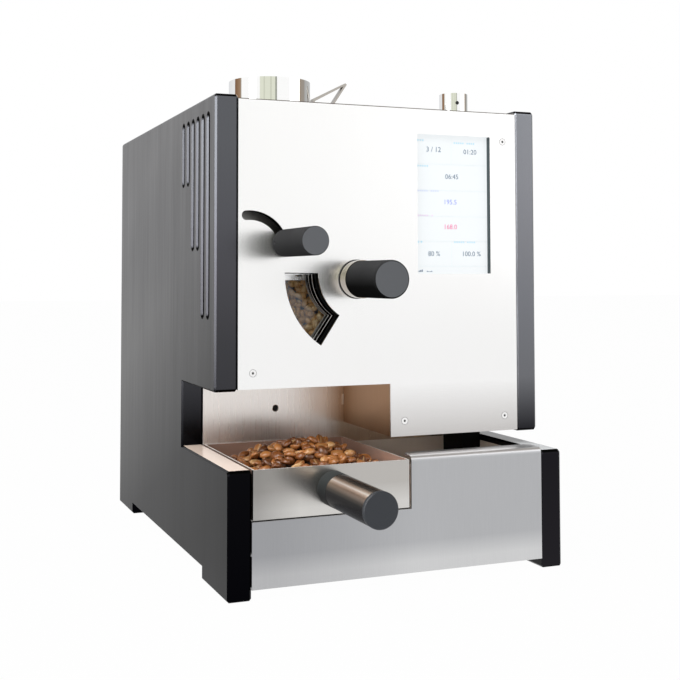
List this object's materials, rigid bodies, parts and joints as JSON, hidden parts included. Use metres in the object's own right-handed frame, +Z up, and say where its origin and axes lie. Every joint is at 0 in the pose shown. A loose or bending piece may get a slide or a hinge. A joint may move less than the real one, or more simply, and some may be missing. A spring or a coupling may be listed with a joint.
{
  "type": "home coffee bean roaster",
  "caption": "Countertop drum coffee roaster with thick side plates, bean hopper, lever, bean window, sampling trier, touch display and sliding cooling tray.",
  "frame": {"origin": "centre of the footprint box at the surface the feet stand on", "axes": "+Z up, the front with display and handles faces -Y, +X to the right seen from the front"},
  "size_m": [0.378, 0.6804, 0.543],
  "materials": {
    "left_plate": "black anodised, brushed outer face",
    "right_plate": "black anodised, brushed outer face",
    "front_steel": "vertically brushed",
    "screw_steel": "satin",
    "inner_black": "matte black",
    "carrier_steel": "plain sheet",
    "top_steel": "brushed",
    "rear_steel": "brushed",
    "hood_steel": "brushed",
    "base_steel": "vertically brushed",
    "basin_steel": "brushed",
    "duct_black": "matte",
    "tray_steel": "brushed",
    "screen_steel": "perforated",
    "grip_collar": "satin dark grey",
    "grip_tube": "dark bronze anodised",
    "grip_cap": "satin blue black",
    "fan_black": "matte",
    "drum_steel": "plain sheet",
    "pulley_alloy": "turned",
    "bearing_steel": "ground",
    "belt_rubber": "matte",
    "motor_paint": "satin",
    "chamber_steel": "plain sheet",
    "insulation": "mineral wool wrap",
    "heater_tube": "heat tinted",
    "window_black": "matte black",
    "retainer_steel": "bright",
    "window_glass": "clear",
    "hopper_steel": "polished",
    "gate_steel": "satin",
    "lever_steel": "satin",
    "lever_knob": "fine textured charcoal",
    "cable_sleeve": "satin",
    "gasket_rubber": "matte",
    "trier_steel": "polished",
    "bush_brass": "turned",
    "trier_handle": "fine textured charcoal",
    "damper_steel": "polished",
    "blower_paint": "satin",
    "impeller_plastic": "matte",
    "screen_glass": "lit screen",
    "module_black": "matte",
    "inlet_black": "matte",
    "rocker_black": "gloss"
  },
  "bodies": {
    "frame": {"left_side_plate": "left_plate", "right_side_plate": "right_plate", "front_panel": "front_steel", "panel_screws": "screw_steel", "inner_panel": "inner_black", "bulkhead": "carrier_steel", "upper_floor": "carrier_steel", "base_floor": "carrier_steel", "tray_shelf": "carrier_steel", "chamber_rear_plate": "carrier_steel", "bearing_carrier": "carrier_steel", "top_panel": "top_steel", "rear_panel": "rear_steel", "cavity_hood": "hood_steel", "cavity_rear_wall": "hood_steel", "base_front_panel": "base_steel", "basin_liner": "basin_steel", "cable_duct": "duct_black", "cooling_fan_frame": "fan_black", "drum_bearings": "bearing_steel", "drum_belt": "belt_rubber", "drum_motor": "motor_paint", "chamber_shell": "chamber_steel", "exhaust_pipe": "chamber_steel", "feed_chute": "chamber_steel", "chamber_insulation": "insulation", "heater_element": "heater_tube", "window_frames": "window_black", "glass_retainer": "retainer_steel", "window_glass": "window_glass", "hopper": "hopper_steel", "door_cable": "cable_sleeve", "trier_gasket": "gasket_rubber", "trier_guide": "trier_steel", "blower_housing": "blower_paint", "display_glass": "screen_glass", "display_module": "module_black", "power_inlet": "inlet_black"},
    "drum": {"drum_shell": "drum_steel", "drum_vanes": "drum_steel", "drum_shaft": "drum_steel", "drum_pulley": "pulley_alloy"},
    "motor_rotor": {"motor_pulley": "pulley_alloy"},
    "cooling_rotor": {"cooling_fan_rotor": "fan_black"},
    "impeller": {"blower_impeller": "impeller_plastic"},
    "lever": {"discharge_lever": "lever_steel", "discharge_knob": "lever_knob"},
    "door": {"discharge_door": "lever_steel"},
    "trier_sleeve": {"trier_bush": "bush_brass"},
    "trier": {"trier_handle": "trier_handle", "trier_spoon": "trier_steel"},
    "tray": {"tray_pan": "tray_steel", "tray_screen": "screen_steel", "tray_handle_collar": "grip_collar", "tray_handle_tube": "grip_tube", "tray_handle_cap": "grip_cap"},
    "gate": {"hopper_gate": "gate_steel"},
    "damper": {"damper_knob": "damper_steel", "damper_flap": "damper_steel"},
    "rocker": {"power_rocker": "rocker_black"}
  },
  "joints": [
    {"name": "drum_spin", "type": "hinge", "parent": "frame", "child": "drum", "pos_m": [-0.023, -0.06675, 0.3185], "axis": [0, 1, 0], "continuous": true},
    {"name": "motor_spin", "type": "hinge", "parent": "frame", "child": "motor_rotor", "pos_m": [-0.099, 0.09825, 0.25], "axis": [0, 1, 0], "continuous": true},
    {"name": "cooling_fan_spin", "type": "hinge", "parent": "frame", "child": "cooling_rotor", "pos_m": [-0.07875, -0.12675, 0.063], "axis": [0, 0, 1], "continuous": true},
    {"name": "blower_spin", "type": "hinge", "parent": "frame", "child": "impeller", "pos_m": [0.096, 0.06325, 0.255], "axis": [0, 1, 0], "continuous": true},
    {"name": "lever_swing", "type": "hinge", "parent": "frame", "child": "lever", "pos_m": [-0.1515, -0.14675, 0.3415], "axis": [0, -1, 0], "range_deg": [0, 82]},
    {"name": "door_swing", "type": "hinge", "parent": "frame", "child": "door", "pos_m": [-0.002, -0.13975, 0.273], "axis": [0, -1, 0], "range_deg": [0, 82]},
    {"name": "trier_twist", "type": "hinge", "parent": "frame", "child": "trier_sleeve", "pos_m": [-0.032, -0.16175, 0.313], "axis": [0, -1, 0], "range_deg": [0, 180]},
    {"name": "trier_slide", "type": "slide", "parent": "trier_sleeve", "child": "trier", "axis": [0, -1, 0], "range_m": [0, 0.13]},
    {"name": "tray_slide", "type": "slide", "parent": "frame", "child": "tray", "axis": [0, -1, 0], "range_m": [0, 0.17]},
    {"name": "gate_slide", "type": "slide", "parent": "frame", "child": "gate", "axis": [1, 0, 0], "range_m": [0, 0.058]},
    {"name": "damper_turn", "type": "hinge", "parent": "frame", "child": "damper", "pos_m": [0.138, -0.07175, 0.48], "axis": [0, 0, 1], "range_deg": [0, 90]},
    {"name": "power_switch", "type": "hinge", "parent": "frame", "child": "rocker", "pos_m": [-0.109, 0.31125, 0.083], "axis": [1, 0, 0], "range_deg": [0, 18]}
  ],
  "couplings": [
    {"joint": "motor_spin", "follows": "drum_spin", "ratio": 2},
    {"joint": "door_swing", "follows": "lever_swing", "ratio": 1}
  ]
}
